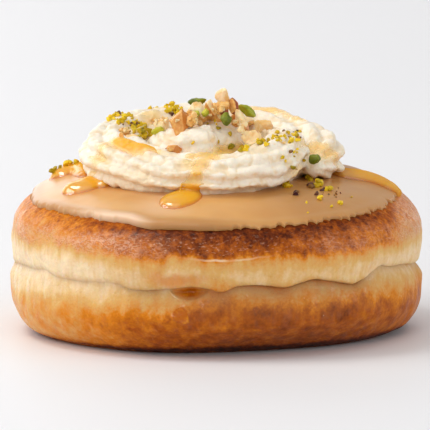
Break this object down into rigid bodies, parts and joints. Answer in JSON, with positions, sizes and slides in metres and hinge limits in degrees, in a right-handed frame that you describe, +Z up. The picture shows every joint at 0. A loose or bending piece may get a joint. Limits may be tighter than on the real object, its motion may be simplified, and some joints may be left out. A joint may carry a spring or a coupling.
{
  "type": "iced doughnut with whipped cream and nuts",
  "caption": "Round fried doughnut with a creased waist, glossy caramel icing, a piped swirl of whipped cream, chopped nuts, pistachio crumbs and honey.",
  "frame": {"origin": "middle of the flat underside that the doughnut rests on", "axes": "+Z up, -Y to the front with the honey strand over the cream, +X to the right"},
  "size_m": [0.0951, 0.0947, 0.0571],
  "materials": {
    "dough": "fried crust, golden brown above and below a pale band, with a faint sugar glaze",
    "icing": "smooth caramel fondant, soft gloss",
    "cream": "whipped cream, soft satin",
    "honey": "clear amber syrup, wet gloss",
    "nut": "broken nut, waxy cut faces and brown skin",
    "pistachio": "chopped pistachio, yellow-green with dark skin"
  },
  "bodies": {
    "root": {"dough": "dough", "icing": "icing", "cream": "cream"}
  },
  "joints": []
}
